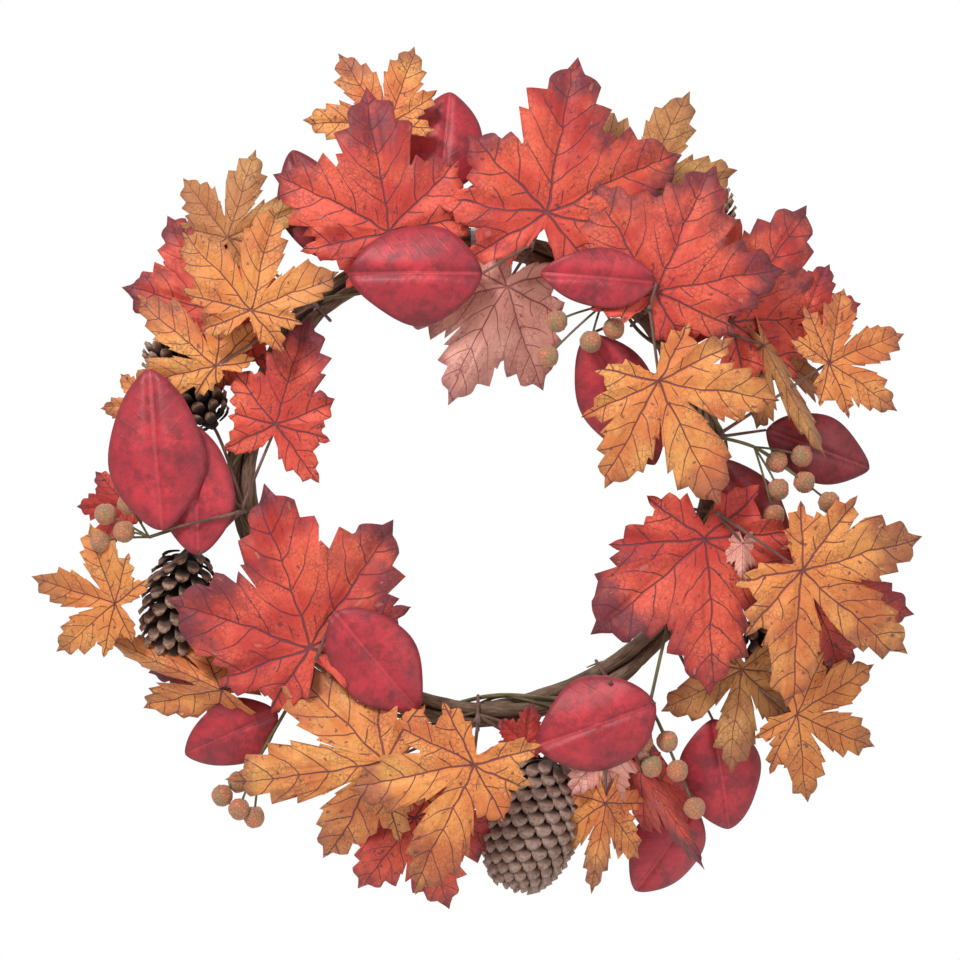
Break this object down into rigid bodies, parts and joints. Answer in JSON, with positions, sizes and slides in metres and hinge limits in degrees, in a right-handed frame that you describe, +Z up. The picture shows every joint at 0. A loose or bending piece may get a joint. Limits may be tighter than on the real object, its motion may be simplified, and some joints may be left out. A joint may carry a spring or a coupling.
{
  "type": "door wreath",
  "caption": "Autumn door wreath: fabric maple and magnolia leaves, pine cones and berry sprays on wire picks bound to a twisted vine ring, with a hanging loop that swings at the back.",
  "frame": {"origin": "the flat back pad of the hanger clip, which rests on the door, at the height of the vine's middle at the top of the ring", "axes": "+Z up, -Y out from the door towards the viewer, +X to the viewer's right"},
  "size_m": [0.6173, 0.0906, 0.6039],
  "materials": {
    "vine": "rough brown bark, wound and twisted",
    "floral_wire": "paper-taped florist's wire",
    "maple_red": "printed fabric leaf, red with purple veins and tips",
    "maple_orange": "printed fabric leaf, orange with dark red veins",
    "maple_yellow": "printed fabric leaf, golden with red veins",
    "maple_tan": "printed fabric leaf, tan underside",
    "maple_pink": "printed fabric leaf, pale pink underside",
    "magnolia_crimson": "smooth printed fabric leaf, crimson with mottling",
    "magnolia_burgundy": "smooth printed fabric leaf, dark burgundy",
    "pine_cone": "dark brown open scales with paler tips",
    "berry": "orange-brown foam bead with olive net and flock",
    "steel": "plain zinc-coated wire and strap"
  },
  "bodies": {
    "wreath": {"vine_ring": "vine", "hanger_clip": "steel", "pick_east": "floral_wire", "pick_northeast": "floral_wire", "pick_north": "floral_wire", "pick_north_northwest": "floral_wire", "pick_northwest": "floral_wire", "pick_west": "floral_wire", "pick_southwest": "floral_wire", "pick_south": "floral_wire", "pick_south_southeast": "floral_wire", "pick_southeast": "floral_wire", "pick_east_southeast": "floral_wire", "maple_orange_top": "maple_orange", "maple_red_top_left": "maple_red", "maple_red_top": "maple_red", "maple_pink_inner_top": "maple_pink", "maple_tan_top_right": "maple_tan", "maple_red_right_front": "maple_red", "maple_red_right_back": "maple_red", "maple_orange_inner_right": "maple_orange", "maple_orange_right_top": "maple_orange", "maple_red_inner_right": "maple_red", "maple_orange_right": "maple_orange", "maple_tan_lower_right": "maple_tan", "maple_yellow_lower_right": "maple_yellow", "maple_orange_bottom_right": "maple_orange", "maple_red_bottom": "maple_red", "maple_orange_bottom": "maple_orange", "maple_orange_bottom_left": "maple_orange", "maple_red_left": "maple_red", "maple_orange_lower_left": "maple_orange", "maple_yellow_left": "maple_yellow", "maple_red_inner_left": "maple_red", "maple_yellow_top_left": "maple_yellow", "maple_orange_left": "maple_orange", "maple_tan_top_left": "maple_tan", "magnolia_inner_top": "magnolia_crimson", "magnolia_top": "magnolia_crimson", "magnolia_top_left": "magnolia_burgundy", "magnolia_top_right": "magnolia_crimson", "magnolia_inner_right": "magnolia_crimson", "magnolia_right": "magnolia_burgundy", "magnolia_right_back": "magnolia_burgundy", "magnolia_inner_bottom": "magnolia_crimson", "magnolia_lower_right": "magnolia_crimson", "magnolia_bottom": "magnolia_crimson", "magnolia_inner_left": "magnolia_crimson", "magnolia_lower_left": "magnolia_crimson", "magnolia_left_front": "magnolia_crimson", "magnolia_left_back": "magnolia_crimson", "pine_cone_bottom": "pine_cone", "pine_cone_lower_left": "pine_cone", "pine_cone_left": "pine_cone", "pine_cone_right": "pine_cone", "berry_spray_inner_right": "berry", "berry_spray_right": "berry", "berry_spray_lower_right": "berry", "berry_spray_left": "berry"},
    "hanger": {"hanger_loop": "steel"}
  },
  "joints": [
    {"name": "hanger_swing", "type": "hinge", "parent": "wreath", "child": "hanger", "pos_m": [0, -0.003, 0.0125], "axis": [-1, 0, 0], "range_deg": [0, 170]}
  ]
}
